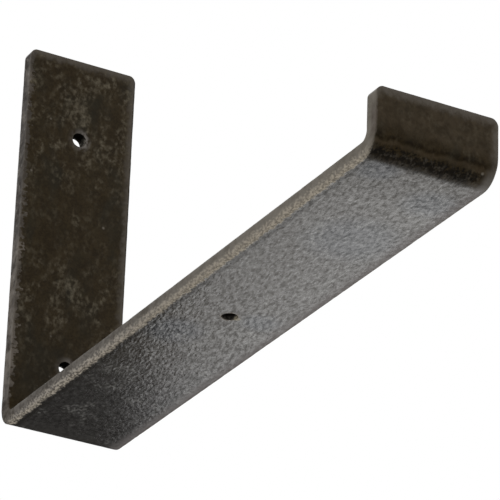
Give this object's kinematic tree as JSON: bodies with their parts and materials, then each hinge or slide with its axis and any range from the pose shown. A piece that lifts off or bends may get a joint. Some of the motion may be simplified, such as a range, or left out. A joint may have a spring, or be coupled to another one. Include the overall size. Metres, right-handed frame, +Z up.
{
  "type": "hanging shelf bracket",
  "caption": "Flat steel bar bent into a tall wall plate, a level arm that carries a shelf and a short upturned front lip, drilled for wall and shelf screws.",
  "frame": {"origin": "midway between the two wall holes, on the face that sits against the wall", "axes": "+Y out of the back of the wall plate, into the wall; +Z up; +X across the bar's width, so the arm points along -Y"},
  "size_m": [0.0508, 0.3048, 0.1778],
  "materials": {
    "steel": "hot-rolled mill scale, dark brown to grey, under a satin clear coat"
  },
  "bodies": {
    "root": {"bracket": "steel"}
  },
  "joints": []
}
